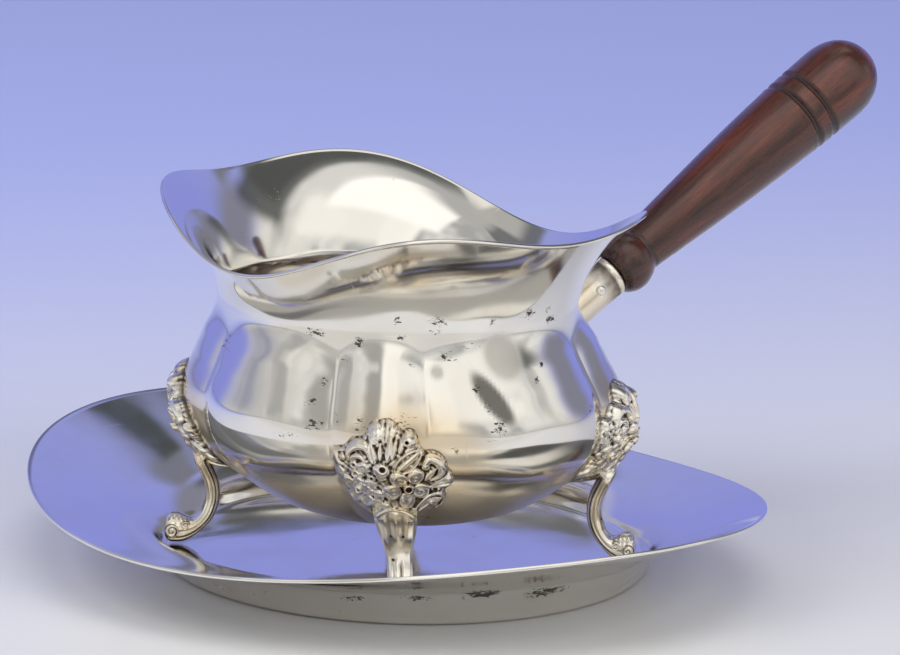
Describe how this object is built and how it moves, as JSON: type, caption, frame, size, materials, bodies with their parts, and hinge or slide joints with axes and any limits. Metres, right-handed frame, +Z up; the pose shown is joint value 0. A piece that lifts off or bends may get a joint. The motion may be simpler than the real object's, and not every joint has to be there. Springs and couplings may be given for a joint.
{
  "type": "pipkin",
  "caption": "Lobed silver sauce pipkin with a wavy flared rim, scroll legs with floral mounts and a turned wooden handle, on a matching stand",
  "frame": {"origin": "on the table, under the middle of the stand's flat base", "axes": "+Z up, +X the low end of both wavy rims, the end with the handle"},
  "size_m": [0.2311, 0.1914, 0.1215],
  "materials": {
    "silver": "polished silver with light tarnish",
    "wood": "polished reddish brown hardwood"
  },
  "bodies": {
    "stand": {"stand": "silver"},
    "pipkin": {"pipkin_body": "silver", "leg_rear_left": "silver", "mount_rear_left": "silver", "leg_front_left": "silver", "mount_front_left": "silver", "leg_front_right": "silver", "mount_front_right": "silver", "leg_rear_right": "silver", "mount_rear_right": "silver", "handle_socket": "silver", "wood_handle": "wood", "handle_pin": "silver"}
  },
  "joints": [
    {"name": "pipkin_lift", "type": "slide", "parent": "stand", "child": "pipkin", "axis": [0, 0, 1], "range_m": [0, 0.06]}
  ]
}
